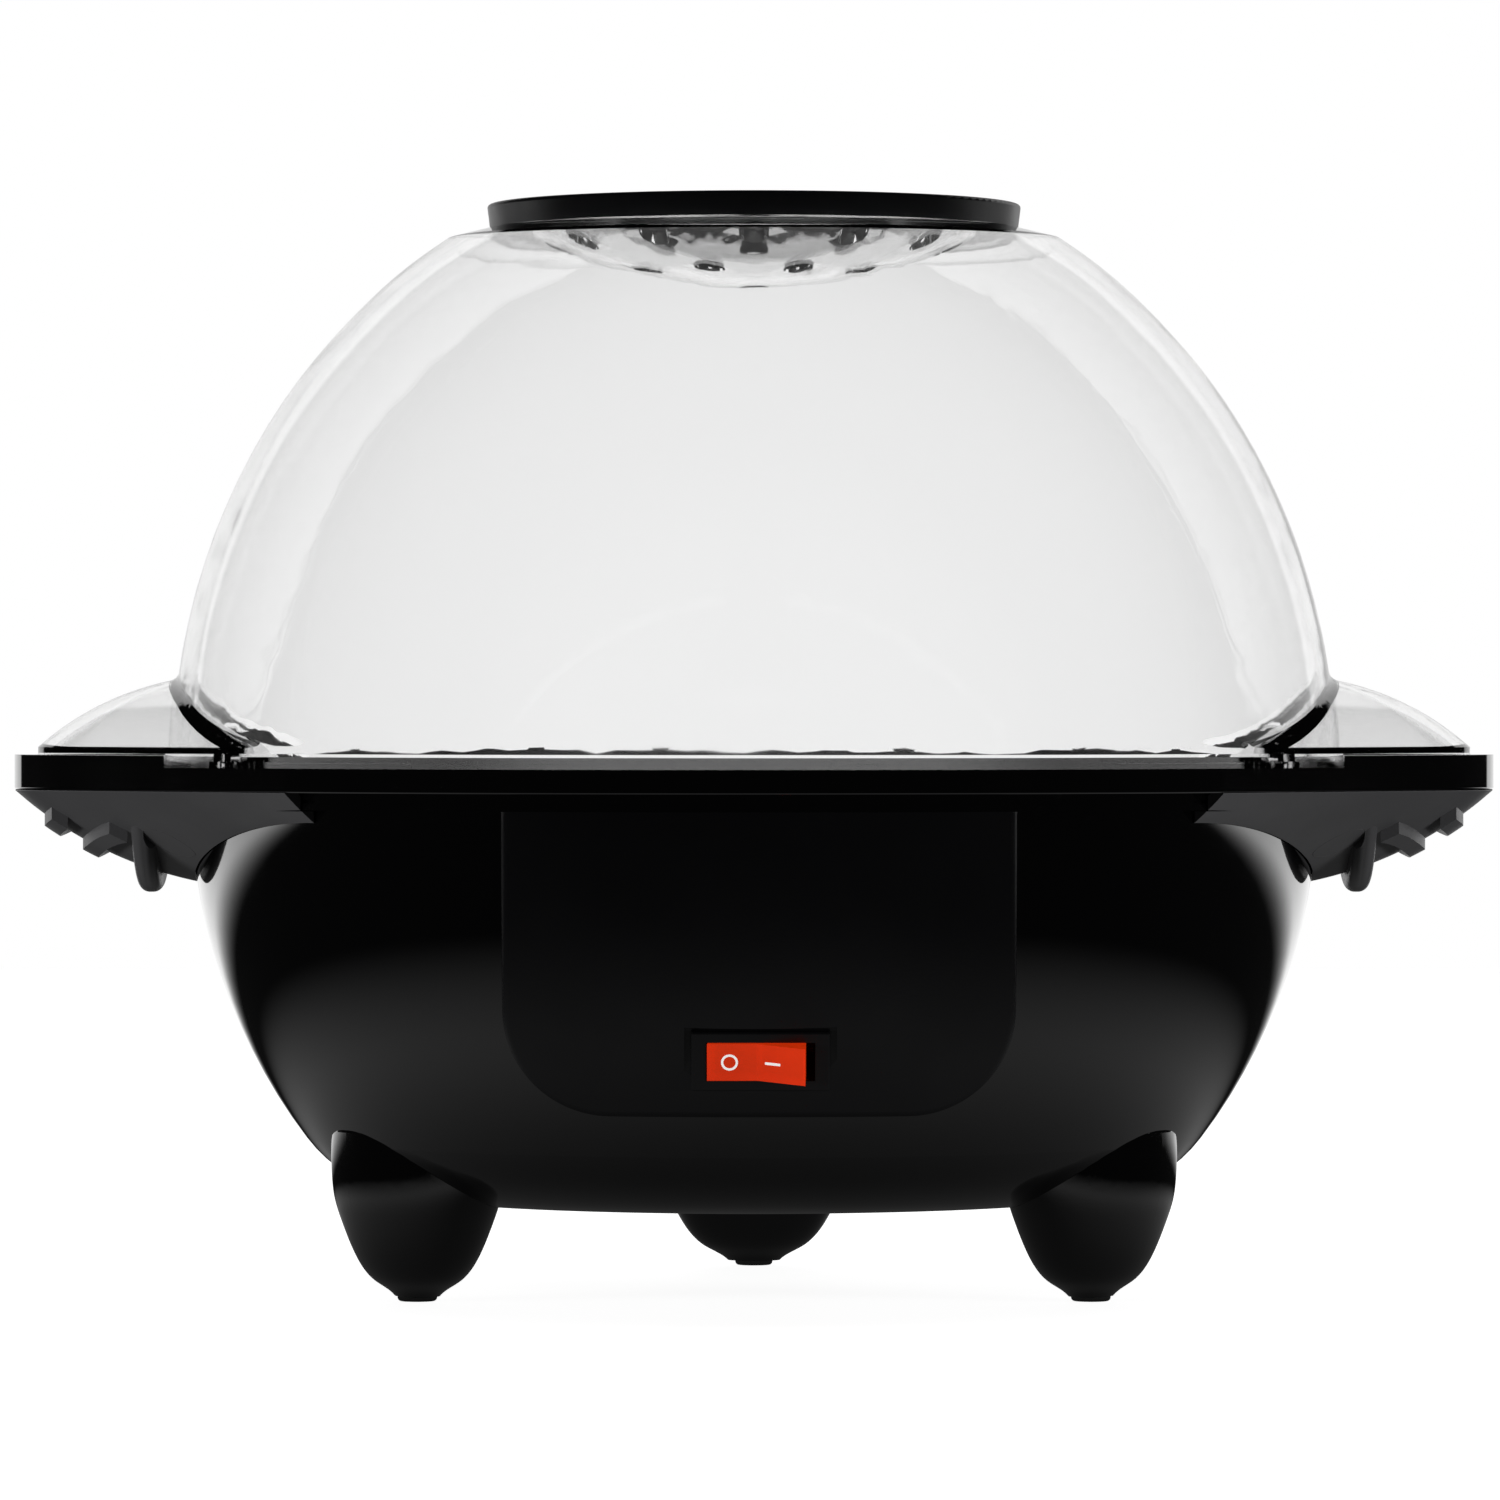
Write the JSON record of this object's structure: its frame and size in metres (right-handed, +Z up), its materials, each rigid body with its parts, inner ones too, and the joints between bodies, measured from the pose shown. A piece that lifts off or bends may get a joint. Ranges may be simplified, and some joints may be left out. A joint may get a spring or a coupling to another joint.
{
  "type": "popcorn maker",
  "caption": "Stir-type popcorn maker: clear winged dome with a vent cap over a heated, stirred pan in a round three-legged bowl with a rocker switch.",
  "frame": {"origin": "on the floor, under the main axis shared by dome, pan and stirrer", "axes": "+Z up, -Y towards the front with the switch, X along the two wing handles"},
  "size_m": [0.35, 0.284, 0.2565],
  "materials": {
    "clear_plastic": "clear moulded polycarbonate",
    "gloss_black": "high-gloss moulded plastic",
    "satin_black": "fine satin texture",
    "grip_grey": "satin moulded plastic",
    "rocker_red": "translucent red",
    "steel": "zinc plated and stainless steel",
    "brass": "turned brass",
    "lamp_glass": "small glass lamp",
    "rubber_black": "soft rubber",
    "silicone": "silicone rubber",
    "nonstick": "aluminium with dark non-stick coating",
    "aluminium": "bare aluminium",
    "ceramic": "ceramic body",
    "coil": "varnished copper winding",
    "nylon": "natural nylon"
  },
  "bodies": {
    "base": {"rim_ring": "gloss_black", "base_housing": "gloss_black", "bottom_cover": "satin_black", "front_panel": "satin_black", "handle_grip_left": "grip_grey", "handle_grip_right": "grip_grey", "screw_plugs_left": "grip_grey", "screw_plugs_right": "grip_grey", "switch_frame": "satin_black", "rocker_pin": "steel", "switch_blades": "brass", "indicator_lamp": "lamp_glass", "leg_front_left": "gloss_black", "leg_front_right": "gloss_black", "leg_rear": "gloss_black", "foot_pad_front_left": "rubber_black", "foot_pad_front_right": "rubber_black", "foot_pad_rear": "rubber_black", "heating_pan": "nonstick", "pan_seal": "silicone", "shaft_bush": "brass", "heating_element": "aluminium", "heater_pins": "steel", "thermostat": "ceramic", "thermal_fuse": "steel", "pan_studs": "steel", "stud_nuts": "steel", "heat_shield": "aluminium", "motor_bracket": "steel", "motor_can": "steel", "motor_lid": "steel", "motor_screws": "steel", "stator_coil": "coil", "gear_arbors": "steel", "cord_gland": "rubber_black", "gland_nut": "nylon", "cover_screws": "steel", "ring_screws": "steel", "leg_screws": "steel", "grip_screws": "steel"},
    "dome": {"dome_cover": "clear_plastic"},
    "vent_cap": {"vent_cap": "satin_black"},
    "rocker": {"rocker": "rocker_red"},
    "drive_shaft": {"output_shaft": "steel", "output_gear": "nylon"},
    "stirrer": {"stirrer_hub": "satin_black", "stirring_wire": "steel", "stirrer_knob": "satin_black"},
    "middle_gear": {"middle_gear": "nylon"},
    "motor_rotor": {"motor_rotor": "nylon"}
  },
  "joints": [
    {"name": "dome_lift", "type": "slide", "parent": "base", "child": "dome", "axis": [0, 0, 1], "range_m": [0, 0.16]},
    {"name": "cap_lift", "type": "slide", "parent": "dome", "child": "vent_cap", "axis": [0, 0, 1], "range_m": [0, 0.04]},
    {"name": "rocker_tilt", "type": "hinge", "parent": "base", "child": "rocker", "pos_m": [0.0014, -0.12015, 0.05983], "axis": [0, -0.309, 0.9511], "range_deg": [0, 18]},
    {"name": "shaft_spin", "type": "hinge", "parent": "base", "child": "drive_shaft", "pos_m": [0, 0, 0.07], "axis": [0, 0, 1], "continuous": true},
    {"name": "stirrer_lift", "type": "slide", "parent": "drive_shaft", "child": "stirrer", "axis": [0, 0, 1], "range_m": [0, 0.03]},
    {"name": "middle_spin", "type": "hinge", "parent": "base", "child": "middle_gear", "pos_m": [0.01039, 0.006, 0.047], "axis": [0, 0, 1], "continuous": true},
    {"name": "rotor_spin", "type": "hinge", "parent": "base", "child": "motor_rotor", "pos_m": [0, 0.012, 0.04], "axis": [0, 0, 1], "continuous": true}
  ],
  "couplings": [
    {"joint": "middle_spin", "follows": "shaft_spin", "ratio": -3},
    {"joint": "rotor_spin", "follows": "shaft_spin", "ratio": 9}
  ]
}
